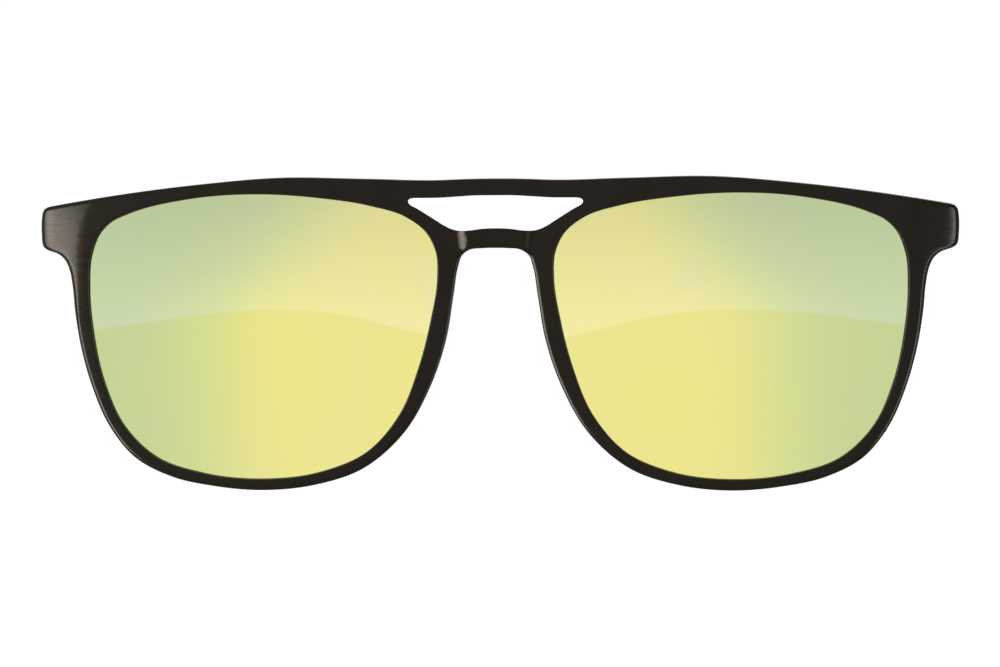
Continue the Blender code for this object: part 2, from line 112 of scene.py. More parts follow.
# The raised bridge, and the slanted facet on each side of it
BRIDGE_HALF = 9.0
BRIDGE_RISE = 0.68
BRIDGE_LOW = 9.5  # the height it starts to rise from
BRIDGE_FADE = 3
FACET_OUT = 5.65  # how far out the facet ends, at FACET_LEVEL
FACET_LEVEL = 14
FACET_LEAN = 0.13
FACET_WIDE = 1.5
BAR_LOW = 16.5  # above this the facet spreads, onto the top bar
BAR_TALL = 4.5
BAR_OUT = 3.2
BAR_WIDE = 3.5

# The lugs, which turn back from a crease
CREASE_OUT = 64.2
CREASE_IN = 2.2  # how much nearer the crease is at CREASE_LEVEL
CREASE_LEVEL = 20
CREASE_FADE = 3.5
LUG_END = 70.0
LUG_DROP = 1.0  # how far the end of each lug turns back
LUG_CURVE = 1.12
LUG_TIP = 0.05  # how sharply its last part does, from LUG_TIP_START outward
LUG_TIP_START = 68.3
LUG_BOSS_R = 2.2

# The lenses and their groove
GROOVE_WIDE = 1.0
GROOVE_DEEP = 0.5
LENS_THICK = 0.76
LENS_GRIP = 0.35
LENS_CHAMFER = 0.12
LENS_RINGS = 24
TWIST = 3.4e-5
TWIST_SKEW = 4.6e-7
TWIST_INWARD = 1.5  # how much nearer the nose than the lens centre its axis is
TWIST_LEVEL = 2
TWIST_FADE = 6
LENS_TILT = 0.0015

# Behind the front: the hinge's seat and the cut beside it, the bumpers, and the small round parts
SEAT_Y = 3.0
SEAT_HALF = 7.5
RELIEF_Y = 3.3
RELIEF_HALF = 12.5
RELIEF_LOW = 20
BUMPER_GAP = 0.05
BUMPER_R = 0.9
BUMPER_TALL = 0.7
BUMPER_SHOULDER = 0.35
BUMPER_STEM_R = 0.35
BUMPER_STEM_DEEP = 0.6
KNUCKLE_R = 0.85
KNUCKLE_LONG = 2.5
PIN_BORE_R = 0.43
WEB_HALF = 0.55
ROUND = 64  # sides of a round part
ROW_SHARE = 0.87  # rows of points this share of their spacing apart make even triangles

# The camera, in degrees and metres
CAMERA_TURN = 3.47
CAMERA_RISE = 3.17
CAMERA_ROLL = 0.28
CAMERA_AWAY = 0.55
CAMERA_LENS = 130.4


# ---- Outlines and surfaces


def smooth_step(value):
    """From 0 to 1 with a level start and end."""
    value = min(max(value, 0.0), 1.0)
    return value * value * (3 - 2 * value)


def crease(z):
    """How far out the front stays flat before the lug and the outer edge of the rim turn back."""
    return CREASE_OUT - CREASE_IN * math.exp((z - CREASE_LEVEL) / CREASE_FADE)


def eased(value):
    """Halfway between a straight slope and a smooth step."""
    return 0.5 * min(max(value, 0.0), 1.0) + 0.5 * smooth_step(value)


def facet(z):
    """(how far out, how wide): the slanted facet beside the raised bridge, wider on the top bar."""
    on_bar = min(max((z - BAR_LOW) / BAR_TALL, 0.0), 1.0)
    out = FACET_OUT + FACET_LEAN * (z - FACET_LEVEL) + BAR_OUT * on_bar
    return out, FACET_WIDE + BAR_WIDE * on_bar


def dish(x, z):
    """How far a lens's sphere lies behind its centre."""
    across = abs(x) - LENS_CENTRE
    return (across**2 + z**2) / (2 * LENS_RADIUS) + FACE_FORM * across


def sag(x, z):
    """The same for the whole front: a smooth raised bridge joins the two spheres, and the lugs turn back."""
    depth = dish(max(abs(x), BRIDGE_HALF), z)
    if abs(x) < BRIDGE_HALF:
        slope = (BRIDGE_HALF - LENS_CENTRE) / LENS_RADIUS + FACE_FORM
        depth += slope * (x * x - BRIDGE_HALF**2) / (2 * BRIDGE_HALF)
    reach, wide = facet(z)
    depth -= BRIDGE_RISE * eased((reach - abs(x)) / wide) * smooth_step((z - BRIDGE_LOW) / BRIDGE_FADE)
    fold = crease(z)
    depth += LUG_DROP * (max(0.0, abs(x) - fold) / (LUG_END - fold)) ** LUG_CURVE
    return depth + LUG_TIP * max(0.0, abs(x) - LUG_TIP_START) ** 2


def trace(points, spacing):
    """An even, smooth closed curve through the points."""
    knots = [Vector(p) for p in points]
    tangents = []
    for i, here in enumerate(knots):
        back = here - knots[i - 1]
        ahead = knots[(i + 1) % len(knots)] - here
        total = back.length + ahead.length
        tangents.append((ahead * back.length / ahead.length + back * ahead.length / back.length) / total)
    loop = []
    for i, start in enumerate(knots):
        end = knots[(i + 1) % len(knots)]
        third = (end - start).length / 3
        steps = max(2, math.ceil(3 * third / spacing))
        leave = start + tangents[i] * third
        arrive = end - tangents[(i + 1) % len(knots)] * third
        loop += interpolate_bezier(start, leave, arrive, end, steps + 1)[:-1]
    return loop


def both_halves(half):
    """The points of a right half, whose ends are on the middle line, and of its mirror image."""
    return list(half) + [(-x, z) for x, z in reversed(half[1:-1])]


def mirrored(loop):
    return [Vector((-p.x, p.y)) for p in reversed(loop)]


def offset(loop, distance):
    """The anticlockwise loop, moved outward."""
    moved = []
    for i, here in enumerate(loop):
        along = (loop[(i + 1) % len(loop)] - loop[i - 1]).normalized()
        moved.append(here + Vector((along.y, -along.x)) * distance)
    return moved


def inside(points, loops):
    """Which of the points lie inside an odd number of the loops."""
    points = np.array(points)
    odd = np.zeros(len(points), bool)
    for loop in loops:
        start = np.array([tuple(p) for p in loop])
        end = np.roll(start, -1, axis=0)
        for (ax, az), (bx, bz) in zip(start, end):
            crosses = (az > points[:, 1]) != (bz > points[:, 1])
            at = (bx - ax) * (points[:, 1] - az) / (bz - az if bz != az else 1) + ax
            odd ^= crosses & (points[:, 0] < at)
    return odd


def rounding(fillet, steps=6):
    """(inset, depth) down a rounded edge, from the face to the side wall."""
    angles = [math.radians(90 * i / steps) for i in range(steps + 1)]
    return [(fillet * (1 - math.sin(a)), fillet * (1 - math.cos(a))) for a in angles]


def moulding(loops, walls, thick, surface, spacing, folds=()):
    """A plate that follows a surface, with rounded edges.

    loops are its outlines, the outer one first; walls gives each the (inset, depth) steps down its side. The
    faces are filled with points the given spacing apart; folds are runs of points that they crease along.
    """
    verts, faces, rims = [], [], []
    for number, (loop, wall) in enumerate(zip(loops, walls)):
        rings = []
        for inset, depth in wall:
            ring = offset(loop, inset if number else -inset)
            rings.append(range(len(verts), len(verts) + len(ring)))
            verts += [(p.x, surface(p.x, p.y, depth), p.y) for p in ring]
        count = len(loop)
        for upper, lower in zip(rings, rings[1:]):
            for i in range(count):
                j = (i + 1) % count
                quad = (upper[i], upper[j], lower[j], lower[i])
                faces.append(quad[::-1] if number else quad)
        rims.append((rings[0], rings[-1]))

    flat, edges = [], []
    for front, _ in rims:
        first = len(flat)
        flat += [Vector((verts[i][0], verts[i][2])) for i in front]
        edges += [(first + i, first + (i + 1) % len(front)) for i in range(len(front))]
    rim_count = len(flat)
    bounds = [[Vector((verts[i][0], verts[i][2])) for i in front] for front, _ in rims]
    near = KDTree(len(flat))
    for i, point in enumerate(flat):
        near.insert((*point, 0), i)
    near.balance()

    def fits(run, clear):
        """The run, with None for each point outside the faces or nearer than clear to their edges."""
        kept = inside(run, bounds)
        return [p if ok and near.find((*p, 0))[2] > clear else None for p, ok in zip(run, kept)]

    taken = []
    for fold in folds:
        last = None
        for point in fits(fold, 0.25 * spacing):
            if point is not None:
                flat.append(Vector(point))
                taken.append(flat[-1])
                if last is not None:
                    edges.append((last, len(flat) - 1))
            last = len(flat) - 1 if point is not None else None
    low = Vector((min(p.x for p in flat), min(p.y for p in flat)))
    high = Vector((max(p.x for p in flat), max(p.y for p in flat)))
    rows = int((high.y - low.y) / (spacing * ROW_SHARE)) + 1
    columns = int((high.x - low.x) / spacing) + 1
    grid = [
        (low.x + (column + 0.5 * (row % 2)) * spacing, low.y + row * spacing * ROW_SHARE)
        for row in range(rows)
        for column in range(columns)
    ]
    for point in fits(grid, 0.45 * spacing):
        if point is not None and all((Vector(point) - t).length > 0.6 * spacing for t in taken):
            flat.append(Vector(point))

    points, _, triangles, source, _, _ = delaunay_2d_cdt(flat, edges, [], 0, 1e-6, True)
    keep = inside([tuple(sum((points[i] for i in t), Vector((0, 0))) / 3) for t in triangles], bounds)
    for side, depth in ((0, 0), (1, thick)):
        index = {}
        rim = [i for pair in rims for i in pair[side]]
        for number, inputs in enumerate(source):
            if inputs and inputs[0] < rim_count:
                index[number] = rim[inputs[0]]
            else:
                index[number] = len(verts)
                x, z = points[number]
                verts.append((x, surface(x, z, depth), z))
        for triangle, wanted in zip(triangles, keep):
            if wanted:
                corners = [index[i] for i in triangle]
                faces.append(corners[::-1] if side else corners)
    return verts, faces


# ---- Objects


def new_object(name, verts, faces):
    """An object of these points and faces, with stray and double points cleared away."""
    mesh = bpy.data.meshes.new(name)
    mesh.from_pydata([tuple(v) for v in verts], [], [tuple(f) for f in faces])
    work = bmesh.new()
    work.from_mesh(mesh)
    bmesh.ops.delete(work, geom=[v for v in work.verts if not v.link_faces], context="VERTS")
    bmesh.ops.remove_doubles(work, verts=work.verts, dist=1e-5)
    bmesh.ops.recalc_face_normals(work, faces=work.faces)
    work.to_mesh(mesh)
    work.free()
    obj = bpy.data.objects.new(name, mesh)
    bpy.context.scene.collection.objects.link(obj)
    return obj


def turned(name, profile, centre, axis="Y"):
    """A round piece from (radius, height) points along its outer side; its height runs along the axis."""
    closed = profile[0][0] > 0
    verts, faces = [], []
    for step in range(ROUND):
        angle = 2 * math.pi * step / ROUND
        for radius, height in profile:
            across, up = radius * math.cos(angle), radius * math.sin(angle)
            verts.append((across, height, up) if axis == "Y" else (height, across, up))
    count = len(profile)
    for step in range(ROUND):
        here, there = step * count, (step + 1) % ROUND * count
        for i in range(count if closed else count - 1):
            j = (i + 1) % count
            quad = [here + i, here + j, there + j, there + i]
            if profile[i][0] == 0:
                quad.pop(0)
            elif profile[j][0] == 0:
                quad.pop(1)
            faces.append(quad)
    return new_object(name, [Vector(v) + Vector(centre) for v in verts], faces)


def block(name, low, high):
    """A plain box between two corners."""
    work = bmesh.new()
    bmesh.ops.create_cube(work, size=1)
    mesh = bpy.data.meshes.new(name)
    work.to_mesh(mesh)
    work.free()
    low, high = Vector(low), Vector(high)
    mesh.transform(Matrix.Translation((low + high) / 2) @ Matrix.Diagonal((*(high - low), 1)))
    obj = bpy.data.objects.new(name, mesh)
    bpy.context.scene.collection.objects.link(obj)
    return obj


def apply_modifier(obj, modifier):
    bpy.context.view_layer.objects.active = obj
    bpy.ops.object.modifier_apply(modifier=modifier.name)


def combine(obj, other, operation):
    """Adds or cuts the other object, and removes it."""
    modifier = obj.modifiers.new("combine", "BOOLEAN")
    modifier.operation = operation
    modifier.solver = "EXACT"
    modifier.object = other
    apply_modifier(obj, modifier)
    bpy.data.objects.remove(other)


def place(obj, kind, body, *nodes, sharp=20):
    """Brings a finished piece to its real size and place, and gives it its material and its body."""
    obj.data.transform(Matrix.Scale(MM, 4) @ Matrix.Translation(-ORIGIN))
    obj.data.polygons.foreach_set("use_smooth", [True] * len(obj.data.polygons))
    obj.data.set_sharp_from_angle(angle=math.radians(sharp))
    for name in [kind] if isinstance(kind, str) else kind:
        obj.data.materials.append(MATERIALS[name])
    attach(obj, body)
    if nodes:
        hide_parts(*nodes)
    return obj


def middle(node):
    """(centre, size) of a CAD node, in millimetres, in the design's places."""
    low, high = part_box(node)
    return (low + high) / 2 / MM + ORIGIN, (high - low) / MM


# ---- Materials


class Nodes:
    """A material with its Principled shader, and short calls for the nodes that drive it."""

    def __init__(self, name, colour, roughness, metallic=0.0, **sockets):
        self.material = bpy.data.materials.new(name)
        self.material.use_nodes = True
        self.tree = self.material.node_tree
        self.shader = self.tree.nodes["Principled BSDF"]
        self.shader.inputs["Base Color"].default_value = (*colour, 1)
        self.shader.inputs["Roughness"].default_value = roughness
        self.shader.inputs["Metallic"].default_value = metallic
        for socket, value in sockets.items():
            self.shader.inputs[socket.replace("_", " ")].default_value = value
        self.place = self.add("ShaderNodeTexCoord").outputs["Object"]

    def add(self, kind, **settings):
        node = self.tree.nodes.new(kind)
        for key, value in settings.items():
            setattr(node, key, value)
        return node

    def link(self, output, node, socket):
        self.tree.links.new(output, node.inputs[socket])

    def noise(self, grain, detail=4.0, stretch=(1, 1, 1)):
        """Noise whose features are about grain millimetres across, longer along an axis by its stretch."""
        mapping = self.add("ShaderNodeMapping")
        mapping.inputs["Scale"].default_value = [1000 / grain / s for s in stretch]
        self.link(self.place, mapping, "Vector")
        noise = self.add("ShaderNodeTexNoise")
        noise.inputs["Scale"].default_value = 1
        noise.inputs["Detail"].default_value = detail
        self.link(mapping.outputs[0], noise, "Vector")
        return noise.outputs["Fac"]

    def spread(self, value, low, high, start=0.25, end=0.75):
        """Brings a value that runs from start to end to the range from low to high."""
        ranged = self.add("ShaderNodeMapRange")
        for socket, number in (("From Min", start), ("From Max", end), ("To Min", low), ("To Max", high)):
            ranged.inputs[socket].default_value = number
        self.link(value, ranged, "Value")
        return ranged.outputs[0]

    def maths(self, operation, first, second):
        node = self.add("ShaderNodeMath", operation=operation)
        for socket, value in enumerate((first, second)):
            if isinstance(value, (int, float)):
                node.inputs[socket].default_value = value
            else:
                self.tree.links.new(value, node.inputs[socket])
        return node.outputs[0]

    def ramp(self, value, stops, mode="LINEAR"):
        node = self.add("ShaderNodeValToRGB")
        node.color_ramp.interpolation = mode
        for number, (at, colour) in enumerate(stops):
            if number > 1:
                node.color_ramp.elements.new(at)
            node.color_ramp.elements[number].position = at
            node.color_ramp.elements[number].color = (*colour, 1)
        self.link(value, node, "Fac")
        return node.outputs["Color"]

    def blend(self, amount, first, second, mode="MIX"):
        node = self.add("ShaderNodeMix", data_type="RGBA", blend_type=mode)
        for socket, value in ((0, amount), (6, first), (7, second)):
            if isinstance(value, (int, float)):
                node.inputs[socket].default_value = value
            elif isinstance(value, tuple):
                node.inputs[socket].default_value = (*value, 1)
            else:
                self.tree.links.new(value, node.inputs[socket])
        return node.outputs[2]

    def bump(self, height, depth):
        """Relief of so many millimetres from a height between 0 and 1."""
        node = self.add("ShaderNodeBump")
        node.inputs["Distance"].default_value = depth * MM
        self.link(height, node, "Height")
        self.link(node.outputs[0], self.shader, "Normal")


def frame_black():
    """Satin black moulding with a fine brushing along it."""
    m = Nodes("frame_black", (0.004, 0.0035, 0.003), 0.26, Specular_IOR_Level=0.145,
              Specular_Tint=(1, 0.93, 0.82, 1))
    brushing = m.noise(0.14, 3, stretch=(40, 8, 1))
    cloud = m.noise(6, 3)
    m.link(m.blend(cloud, (0.0022, 0.0017, 0.001), (0.0055, 0.0042, 0.0026)), m.shader, "Base Color")
    m.link(m.spread(brushing, 0.21, 0.31), m.shader, "Roughness")
    m.bump(brushing, 0.004)
    return m.material


def frame_edge():
    """The same moulding along its edges, where handling has rubbed it a warmer brown in patches."""
    m = Nodes("frame_edge", (0.02, 0.011, 0.006), 0.3, Specular_IOR_Level=0.3)
    worn = m.spread(m.noise(3.5, 6), 0, 1, 0.35, 0.65)
    m.link(m.blend(worn, (0.005, 0.0035, 0.0025), (0.022, 0.013, 0.008)), m.shader, "Base Color")
    m.link(m.spread(m.noise(0.4, 4), 0.22, 0.42), m.shader, "Roughness")
    m.bump(m.noise(0.3, 4), 0.003)
    return m.material


def lens_coat():
    """Mirror coating: yellow near the nose and greener toward the temple, with painted shade that darkens it
    and takes out blue toward the top.
    """
    m = Nodes("lens_coat", (0.85, 0.79, 0.26), 0.03, 1.0, Coat_Weight=1.0, Coat_Roughness=0.01, Coat_IOR=2.1)
    parts = m.add("ShaderNodeSeparateXYZ")
    m.link(m.place, parts, "Vector")
    height = m.spread(parts.outputs["Z"], 0, 1, 2 * MM - ORIGIN.z * MM, 20 * MM - ORIGIN.z * MM)
    across = m.maths("ABSOLUTE", parts.outputs["X"], 0)
    across = m.maths("ADD", across, m.maths("MULTIPLY", height, 15 * MM))
    across = m.spread(across, 0, 1, 10 * MM, 77 * MM)
    colour = m.ramp(across, [
        (0.27, (0.87, 0.8, 0.128)),
        (0.36, (0.86, 0.796, 0.128)),
        (0.45, (0.75, 0.765, 0.138)),
        (0.54, (0.625, 0.7, 0.168)),
        (0.63, (0.555, 0.66, 0.188)),
        (0.74, (0.51, 0.645, 0.195)),
    ], "B_SPLINE")
    # painted shade: from 2 mm above the lens centre upward, the coat's colour is darkened and made less blue
    # by height alone
    painted_shade = m.ramp(height, [(0.0, (1, 1, 1)), (0.13, (0.98, 0.99, 0.84)), (1.0, (0.79, 0.8, 0.58))])
    m.link(m.blend(1.0, colour, painted_shade, "MULTIPLY"), m.shader, "Base Color")
    m.link(m.spread(m.noise(18, 2), 0.025, 0.035), m.shader, "Roughness")
    return m.material


def lens_tint():
    """The uncoated back of the lens: a dark, glossy grey-green."""
    m = Nodes("lens_tint", (0.02, 0.022, 0.016), 0.06, Coat_Weight=0.6, Coat_Roughness=0.02)
    parts = m.add("ShaderNodeSeparateXYZ")
    m.link(m.place, parts, "Vector")
    height = m.spread(parts.outputs["Z"], 0, 1, -22 * MM - ORIGIN.z * MM, 22 * MM - ORIGIN.z * MM)
    height = m.maths("ADD", height, m.spread(m.noise(30, 2), -0.1, 0.1))
    m.link(m.ramp(height, [(0, (0.04, 0.041, 0.028)), (1, (0.01, 0.0115, 0.009))]), m.shader, "Base Color")
    m.link(m.spread(m.noise(0.8, 2), 0.05, 0.09), m.shader, "Roughness")
    return m.material


def steel():
    """Turned and brushed stainless steel."""
    m = Nodes("steel", (0.46, 0.45, 0.43), 0.28, 1.0)
    lines = m.noise(0.06, 3, stretch=(30, 1, 1))
    m.link(m.blend(m.noise(1.5, 3), (0.40, 0.39, 0.37), (0.52, 0.51, 0.49)), m.shader, "Base Color")
    m.link(m.spread(lines, 0.2, 0.38), m.shader, "Roughness")
    m.bump(lines, 0.003)
    return m.material


def black_steel():
    """Stainless sheet with a black physical coating."""
    m = Nodes("black_steel", (0.035, 0.034, 0.033), 0.35, 0.85)
    grain = m.noise(0.12, 4)
    m.link(m.blend(m.noise(2.5, 3), (0.028, 0.027, 0.026), (0.05, 0.048, 0.046)), m.shader, "Base Color")
    m.link(m.spread(grain, 0.28, 0.46), m.shader, "Roughness")
    m.bump(grain, 0.004)
    return m.material


def nickel():
    """The plating of the magnets."""
    m = Nodes("nickel", (0.70, 0.67, 0.62), 0.18, 1.0)
    m.link(m.blend(m.noise(0.9, 4), (0.62, 0.59, 0.54), (0.74, 0.71, 0.66)), m.shader, "Base Color")
    m.link(m.spread(m.noise(0.25, 4), 0.12, 0.3), m.shader, "Roughness")
    return m.material


def bronze():
    """The friction washers."""
    m = Nodes("bronze", (0.55, 0.36, 0.16), 0.3, 1.0)
    m.link(m.blend(m.noise(0.7, 4), (0.47, 0.29, 0.12), (0.60, 0.41, 0.19)), m.shader, "Base Color")
    m.link(m.spread(m.noise(0.2, 3), 0.24, 0.42), m.shader, "Roughness")
    return m.material


def silicone():
    """The soft grey of the bumpers."""
    m = Nodes("silicone", (0.20, 0.20, 0.19), 0.55, Subsurface_Weight=0.15, Subsurface_Scale=0.0006)
    grain = m.noise(0.18, 3)
    m.link(m.blend(m.noise(1.2, 3), (0.17, 0.17, 0.165), (0.24, 0.24, 0.23)), m.shader, "Base Color")
    m.link(m.spread(grain, 0.48, 0.66), m.shader, "Roughness")
    m.bump(grain, 0.006)
    return m.material


MATERIALS = {
    "frame": frame_black(),
    "edge": frame_edge(),
    "coat": lens_coat(),
    "tint": lens_tint(),
    "steel": steel(),
    "carrier": black_steel(),
    "nickel": nickel(),
    "bronze": bronze(),
    "silicone": silicone(),
}


# ---- The front


def lens_front(x, z):
    """A lens is a sphere, but for a tilt and a twist that bow the reflection of a level edge.

    Together they move its edge by up to 0.2 mm.
    """
    across = abs(x) - LENS_CENTRE + TWIST_INWARD
    bow = (TWIST - TWIST_SKEW * across) * across**2
    twist = bow * TWIST_FADE * math.tanh((z - TWIST_LEVEL) / TWIST_FADE)
    return dish(x, z) + twist + math.copysign(LENS_TILT, x) * z


def front_surface(x, z, depth):
    """The depth of a point of the front; behind the top bar it is cut flat for the hinge."""
    y = sag(x, z) + depth
    if z > RELIEF_LOW and abs(x) < RELIEF_HALF:
        y = min(y, SEAT_Y if abs(x) < SEAT_HALF else RELIEF_Y)
    return y


def make_front():
    """Rims, top bar, lower bridge, struts and lugs, in one moulding."""
    opening = trace(OPENING, OUTLINE_STEP)
    outer = trace(both_halves(OUTER), OUTLINE_STEP)
    loops = [outer, opening, mirrored(opening), trace(both_halves(WINDOW), WINDOW_STEP)]
    down = rounding(FILLET)
    up = [(inset, FRONT_THICK - depth) for inset, depth in reversed(down)]
    edge = (FRONT_THICK - GROOVE_WIDE) / 2
    groove = [(0, edge), (GROOVE_DEEP, edge), (GROOVE_DEEP, edge + GROOVE_WIDE), (0, edge + GROOVE_WIDE)]
    walls = [FRONT_BEVEL + up, down + groove + up, down + groove + up, down + up]
    crease_heights = [-1 + 0.45 * i for i in range(49)]
    folds = [[(side * crease(z), z) for z in crease_heights] for side in (-1, 1)]
    facet_heights = [11 + 0.35 * i for i in range(38)]
    for side in (-1, 1):
        for share in (0, 0.25, 0.5, 0.75, 1):
            folds.append([(side * (facet(z)[0] - share * facet(z)[1]), z) for z in facet_heights])
    verts, faces = moulding(loops, walls, FRONT_THICK, front_surface, FRONT_GRAIN, folds)
    front = place(new_object("front", verts, faces), ("frame", "edge"), "front", "front_frame", sharp=19)
    steep = 0.35
    for polygon in front.data.polygons:
        polygon.material_index = 1 if abs(polygon.normal.y) < steep else 0


def make_lens(name, side):
    """A spherical sheet with a small chamfer, coated in front and tinted behind."""
    spacing = 0.9
    outline = offset(trace(OPENING, spacing), LENS_GRIP)
    if side < 0:
        outline = mirrored(outline)
    centre = Vector((side * LENS_CENTRE, -0.4))
    front = (FRONT_THICK - LENS_THICK) / 2
    back = front + LENS_THICK
    chamfer_from = 0.995
    shares = [i / LENS_RINGS for i in range(1, LENS_RINGS)]
    steps = [(share, front) for share in shares]
    steps += [(chamfer_from, front), (1, front + LENS_CHAMFER)]
    steps += [(1, back - LENS_CHAMFER), (chamfer_from, back)]
    steps += [(share, back) for share in reversed(shares)]
    verts, faces = [], []
    for share, depth in steps:
        for point in outline:
            at = centre + (point - centre) * share
            verts.append((at.x, lens_front(at.x, at.y) + depth, at.y))
    count = len(outline)
    for ring in range(len(steps) - 1):
        for i in range(count):
            j = (i + 1) % count
            here, there = ring * count, (ring + 1) * count
            faces.append((here + i, here + j, there + j, there + i))
    for ring, depth, is_back in ((0, front, False), (len(steps) - 1, back, True)):
        hub = len(verts)
        verts.append((centre.x, lens_front(*centre) + depth, centre.y))
        for i in range(count):
            pair = (ring * count + i, ring * count + (i + 1) % count)
            faces.append((hub, *(reversed(pair) if is_back else pair)))
    obj = new_object(name, verts, faces)
    place(obj, ("coat", "tint"), "front", name.replace("_glass", ""))
    backward = 0.2
    for polygon in obj.data.polygons:
        polygon.material_index = 1 if polygon.normal.y > backward else 0


def make_lug(name):
    """A round boss on the back of the lug, with its magnet set in a cup.

    Its profile is (radius, depth, height above the lug's back); the first three points follow that back.
    """
    centre, size = middle(f"lug_magnet_{name}")
    contact = centre.y + size.y / 2 + 0.01
    radius, thick = size.x / 2, size.y
    cup = radius + 0.05
    floor = contact - thick - 0.1
    profile = [
        (LUG_BOSS_R + 0.35, None, -0.1), (LUG_BOSS_R + 0.12, None, 0.08), (LUG_BOSS_R, None, 0.4),
        (LUG_BOSS_R, contact - 0.18, 0), (LUG_BOSS_R - 0.06, contact - 0.06, 0),
        (LUG_BOSS_R - 0.2, contact, 0), (cup + 0.08, contact, 0), (cup, contact - 0.08, 0),
        (cup, floor, 0), (0.4, floor, 0),
    ]
    verts, faces = [], []
    for step in range(ROUND):
        angle = 2 * math.pi * step / ROUND
        for reach, depth, above in profile:
            x = centre.x + reach * math.cos(angle)
            z = centre.z + reach * math.sin(angle)
            if depth is None:
                level = min(sag(x, z) + FRONT_THICK + above, contact - 0.25)
            else:
                level = depth
            verts.append((x, level, z))
    count = len(profile)
    for step in range(ROUND):
        here, there = step * count, (step + 1) % ROUND * count
        faces += [(here + i, here + i + 1, there + i + 1, there + i) for i in range(count - 1)]
    boss = new_object(f"lug_boss_{name}", verts, faces)
    place(boss, "frame", "front", sharp=40)
    make_magnet(f"lug_magnet_{name}", "front")


def make_magnet(name, body):
    """A disc magnet with rounded edges."""
    centre, size = middle(name)
    radius, half = size.x / 2, size.y / 2
    edge = 0.13
    turns = [math.radians(a) for a in (0, 30, 60, 90)]
    corner = [(radius - edge * (1 - math.sin(a)), half - edge * (1 - math.cos(a))) for a in turns]
    profile = [(0, half), *corner, *[(r, -h) for r, h in reversed(corner)], (0, -half)]
    place(turned(f"{name}_disc", profile, centre), "nickel", body, name, sharp=40)


def make_bumper(name):
    """A soft button on the back of the rim, square to it."""
    low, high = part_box(f"bumper_{name}")
    x, z = [(low + high)[i] / 2 / MM + ORIGIN[i] for i in (0, 2)]
    step = 0.5
    fall_x = (sag(x + step, z) - sag(x - step, z)) / (2 * step)
    fall_z = (sag(x, z + step) - sag(x, z - step)) / (2 * step)
    turn = Vector((0, 1, 0)).rotation_difference(Vector((-fall_x, 1, -fall_z)).normalized())
    dome_tall = BUMPER_TALL - BUMPER_SHOULDER
    turns = [math.radians(a) for a in range(0, 91, 15)]
    profile = [(BUMPER_R * math.sin(a), BUMPER_SHOULDER + dome_tall * math.cos(a)) for a in turns]
    profile += [(BUMPER_R, 0.15), (BUMPER_R - 0.1, BUMPER_GAP), (BUMPER_STEM_R, BUMPER_GAP)]
    profile += [(BUMPER_STEM_R, -BUMPER_STEM_DEEP), (0, -BUMPER_STEM_DEEP)]
    obj = turned(f"bumper_{name}_button", profile, (0, 0, 0))
    obj.data.transform(Matrix.Translation((x, sag(x, z) + FRONT_THICK, z)) @ turn.to_matrix().to_4x4())
    place(obj, "silicone", "front", f"bumper_{name}", sharp=40)


# ---- The hinge


def strip(half_long, half_tall, z, corner=0.3):
    """A strip's outline, with rounded corners."""
    loop = []
    for quarter, (sx, sz) in enumerate(((1, 1), (-1, 1), (-1, -1), (1, -1))):
        for step in range(7):
            angle = math.radians(90 * quarter + 15 * step)
            x = sx * (half_long - corner) + corner * math.cos(angle)
            loop.append(Vector((x, z + sz * (half_tall - corner) + corner * math.sin(angle))))
    return loop


def flat_plate(name, loops, front, back, fillet):
    """A flat plate with rounded edges between two depths."""
    down = rounding(fillet, 3)
    thick = back - front
    wall = down + [(inset, thick - depth) for inset, depth in reversed(down)]
    verts, faces = moulding(loops, [wall] * len(loops), thick, lambda x, z, depth: front + depth, 1.2)
    return new_object(name, verts, faces)


def barrel(name, low, high, radius, centre):
    """A chamfered cylinder along the hinge's axis."""
    edge = 0.06
    profile = [(0, high), (radius - edge, high), (radius, high - edge)]
    profile += [(radius, low + edge), (radius - edge, low), (0, low)]
    return turned(name, profile, (0, centre.y, centre.z), "X")


def make_leaf(node, body, half_long, half_tall, front, thick, knuckles, reach):
    """A hinge leaf: a strip with a web and a barrel at each knuckle, bored for the pin."""
    pin, _ = middle("friction_washer_left")
    leaf = flat_plate(f"{node}_plate", [strip(half_long, half_tall, pin.z)], front, front + thick, 0.06)
    for low, high in knuckles:
        ends = sorted((reach, pin.y))
        below, above = pin.z - WEB_HALF, pin.z + WEB_HALF
        web = block("web", (low + 0.02, ends[0], below), (high - 0.02, ends[1], above))
        combine(leaf, web, "UNION")
        combine(leaf, barrel("knuckle", low, high, KNUCKLE_R, pin), "UNION")
    far = max(high for _, high in knuckles) + 1
    hole = [(0, far), (PIN_BORE_R, far), (PIN_BORE_R, -far), (0, -far)]
    combine(leaf, turned("bore", hole, (0, pin.y, pin.z), "X"), "DIFFERENCE")
    place(leaf, "steel", body, node, sharp=30)


